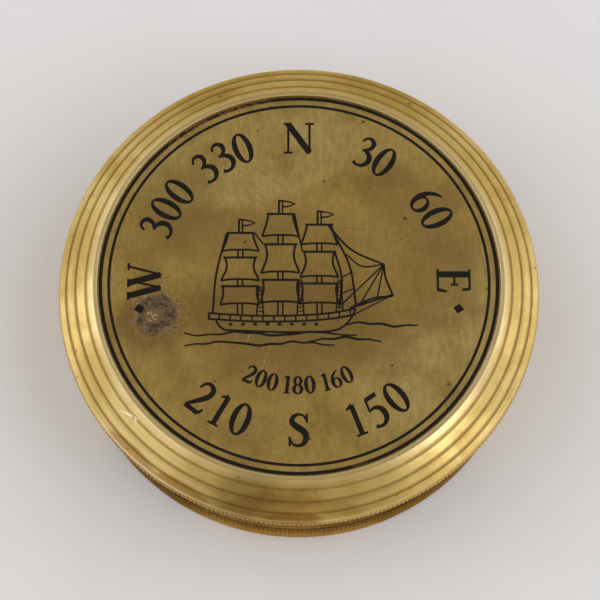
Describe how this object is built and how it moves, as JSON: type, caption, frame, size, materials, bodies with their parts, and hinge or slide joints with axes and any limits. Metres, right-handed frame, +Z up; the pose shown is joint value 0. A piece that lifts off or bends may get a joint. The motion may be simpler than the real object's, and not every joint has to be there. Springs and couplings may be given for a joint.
{
  "type": "pocket compass",
  "caption": "Round brass pocket compass: low knurled case with a dial and pivoted needle under glass, closed by a grooved, engraved lid that screws on.",
  "frame": {"origin": "on the axis of the case, in the plane of the face that it stands on", "axes": "+Z up along the axis through the lid; +Y towards the dial's north and the top of the lid's engraving; +X to the engraving's right"},
  "size_m": [0.076, 0.076, 0.0217],
  "materials": {
    "turned_brass": "turned and tarnished",
    "engraved_brass": "satin, aged and engraved",
    "white_enamel": "smooth, aged cream",
    "black_rubber": "matt",
    "clear_glass": "polished",
    "hard_steel": "ground",
    "blued_steel": "blued",
    "jewel_stone": "polished"
  },
  "bodies": {
    "case": {"case_body": "turned_brass", "base_plate": "engraved_brass", "dial_plate": "white_enamel", "dial_screw_1": "turned_brass", "dial_screw_2": "turned_brass", "dial_screw_3": "turned_brass", "dial_ring": "turned_brass", "glass_gasket": "black_rubber", "glass": "clear_glass", "glass_retaining_ring": "turned_brass", "pivot_post": "turned_brass", "post_nut": "turned_brass", "pivot_pin": "hard_steel"},
    "needle": {"needle_blade": "blued_steel", "needle_cap": "turned_brass", "needle_jewel": "jewel_stone"},
    "lid_seal_ring": {"lid_seal": "black_rubber"},
    "lid_liner_disc": {"lid_liner": "engraved_brass"},
    "lid": {"lid_ring": "turned_brass", "lid_plate": "engraved_brass"}
  },
  "joints": [
    {"name": "lid_lift_off", "type": "slide", "parent": "case", "child": "lid_seal_ring", "axis": [0, 0, 1], "range_m": [0, 0.05]},
    {"name": "lid_rise", "type": "slide", "parent": "lid_seal_ring", "child": "lid_liner_disc", "axis": [0, 0, 1], "range_m": [0, 0.0013]},
    {"name": "lid_unscrew", "type": "hinge", "parent": "lid_liner_disc", "child": "lid", "pos_m": [0, 0, 0.0182], "axis": [0, 0, 1], "range_deg": [0, 720]},
    {"name": "needle_swing", "type": "hinge", "parent": "case", "child": "needle", "pos_m": [0, 0, 0.0135], "axis": [0, 0, 1], "continuous": true}
  ],
  "couplings": [
    {"joint": "lid_rise", "follows": "lid_unscrew", "m_per_rad": 0.000095493}
  ]
}
